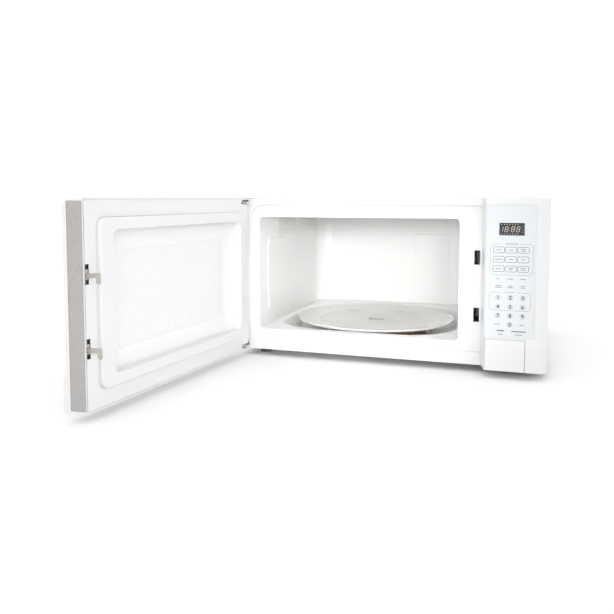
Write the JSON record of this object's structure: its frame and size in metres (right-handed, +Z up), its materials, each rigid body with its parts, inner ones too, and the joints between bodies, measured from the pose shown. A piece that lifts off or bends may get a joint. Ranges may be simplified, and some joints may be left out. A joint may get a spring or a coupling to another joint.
{
  "type": "countertop microwave oven",
  "caption": "White countertop microwave oven with its side-hinged door standing open, push button door release, keypad panel and glass turntable.",
  "frame": {"origin": "on the surface it stands on, under the middle of the box round the oven with its door open", "axes": "+Z up, -Y out of the front, +X towards the control panel side"},
  "size_m": [0.6888, 0.9802, 0.3336],
  "materials": {
    "white_paint": "smooth baked white enamel on sheet steel, satin gloss",
    "cavity_enamel": "warm off-white acrylic enamel, satin",
    "screen_paint": "white enamel over finely perforated sheet steel",
    "galvanised_steel": "zinc-coated sheet steel, dull grey with faint spangle",
    "plated_steel": "bright zinc plating",
    "transformer_steel": "varnished steel laminations with insulated windings",
    "motor_steel": "laminated steel core with a varnished copper coil",
    "bare_aluminium": "drawn aluminium can, matt",
    "white_plastic": "moulded white ABS, gloss",
    "membrane_film": "printed polyester film, very pale blue, grey print",
    "display_plastic": "dark smoked display lens with unlit segments",
    "edge_film": "mottled light grey printed film",
    "latch_plastic": "grey-beige acetal moulding, satin",
    "drive_plastic": "white acetal moulding",
    "ring_plastic": "brown heat-resistant moulding",
    "shroud_plastic": "grey moulded ducting",
    "fan_plastic": "black moulded fan",
    "black_plastic": "black phenolic moulding",
    "circuit_board": "green fibre board with soldered parts",
    "mica": "pressed mica sheet, pale brown",
    "foot_rubber": "moulded rubber, matt",
    "clear_glass": "pressed clear glass with a slight green cast",
    "lamp_glass": "thin clear bulb glass",
    "window_glass": "clear window with a faint grey tint"
  },
  "bodies": {
    "cabinet": {"outer_cabinet": "white_paint", "base_pan": "galvanised_steel", "rear_panel": "galvanised_steel", "front_plate": "white_paint", "foot_front_left": "foot_rubber", "foot_front_right": "foot_rubber", "foot_rear_left": "foot_rubber", "foot_rear_right": "foot_rubber", "rear_screw_left": "plated_steel", "rear_screw_middle": "plated_steel", "rear_screw_right": "plated_steel", "cavity_wall_wrap": "cavity_enamel", "cavity_ceiling": "cavity_enamel", "cavity_floor": "cavity_enamel", "waveguide_cover": "mica", "turntable_motor": "plated_steel", "waveguide": "galvanised_steel", "magnetron": "plated_steel", "high_voltage_transformer": "transformer_steel", "high_voltage_capacitor": "bare_aluminium", "high_voltage_diode": "black_plastic", "fan_shroud": "shroud_plastic", "fan_motor": "motor_steel", "noise_filter_board": "circuit_board", "thermal_cutout": "black_plastic", "oven_lamp": "lamp_glass", "lamp_socket": "latch_plastic", "cord_inlet_bush": "black_plastic", "interlock_bracket": "latch_plastic", "upper_door_switch": "black_plastic", "lower_door_switch": "black_plastic", "control_panel_housing": "white_plastic", "touch_membrane": "membrane_film", "display_window": "display_plastic", "control_board": "circuit_board", "upper_hinge_bracket": "plated_steel", "upper_hinge_pin": "plated_steel", "lower_hinge_bracket": "plated_steel", "lower_hinge_pin": "plated_steel"},
    "door": {"door_outer_frame": "white_plastic", "door_edge_strip": "edge_film", "door_outer_window": "window_glass", "door_inner_panel": "white_paint", "choke_cover": "white_plastic", "door_screen": "screen_paint"},
    "latch": {"latch_bar": "latch_plastic", "latch_spring": "plated_steel"},
    "release_button": {"door_open_button": "white_plastic"},
    "release_lever": {"open_lever": "latch_plastic", "lever_spring": "plated_steel"},
    "turntable": {"turntable_tray": "clear_glass", "turntable_coupler": "drive_plastic"},
    "ring": {"roller_ring": "ring_plastic"},
    "roller_a": {"roller_1": "drive_plastic"},
    "roller_b": {"roller_2": "drive_plastic"},
    "roller_c": {"roller_3": "drive_plastic"},
    "fan": {"fan_blade": "fan_plastic"}
  },
  "joints": [
    {"name": "door_swing", "type": "hinge", "parent": "cabinet", "child": "door", "pos_m": [-0.25778, -0.00859, 0.174], "axis": [0, 0, 1], "range_deg": [-6, 97]},
    {"name": "latch_slide", "type": "slide", "parent": "door", "child": "latch", "axis": [0, 0, 1], "range_m": [0, 0.006], "stiffness_N_per_m": 300, "springref_m": -0.004, "deforming": ["latch_spring"]},
    {"name": "button_press", "type": "slide", "parent": "cabinet", "child": "release_button", "axis": [0, 1, 0], "range_m": [0, 0.006], "stiffness_N_per_m": 400, "springref_m": -0.002},
    {"name": "lever_rock", "type": "hinge", "parent": "cabinet", "child": "release_lever", "pos_m": [0.23042, 0.02001, 0.086], "axis": [1, 0, 0], "range_deg": [0, 15.5]},
    {"name": "turntable_spin", "type": "hinge", "parent": "cabinet", "child": "turntable", "pos_m": [-0.02258, 0.23451, 0.045], "axis": [0, 0, 1], "continuous": true},
    {"name": "ring_spin", "type": "hinge", "parent": "cabinet", "child": "ring", "pos_m": [-0.02258, 0.23451, 0.0363], "axis": [0, 0, 1], "continuous": true},
    {"name": "roller_a_spin", "type": "hinge", "parent": "ring", "child": "roller_a", "pos_m": [-0.11193, 0.1387, 0.0363], "axis": [-0.682, -0.7314, 0], "continuous": true},
    {"name": "roller_b_spin", "type": "hinge", "parent": "ring", "child": "roller_b", "pos_m": [0.10506, 0.20504, 0.0363], "axis": [0.9744, -0.225, 0], "continuous": true},
    {"name": "roller_c_spin", "type": "hinge", "parent": "ring", "child": "roller_c", "pos_m": [-0.06089, 0.35979, 0.0363], "axis": [-0.2924, 0.9563, 0], "continuous": true},
    {"name": "fan_spin", "type": "hinge", "parent": "cabinet", "child": "fan", "pos_m": [0.26442, 0.44601, 0.12], "axis": [0, 1, 0], "continuous": true}
  ],
  "couplings": [
    {"joint": "lever_rock", "follows": "button_press", "rad_per_m": 43.633},
    {"joint": "ring_spin", "follows": "turntable_spin", "ratio": 0.5},
    {"joint": "roller_a_spin", "follows": "turntable_spin", "ratio": -7.7059},
    {"joint": "roller_b_spin", "follows": "turntable_spin", "ratio": -7.7059},
    {"joint": "roller_c_spin", "follows": "turntable_spin", "ratio": -7.7059}
  ]
}
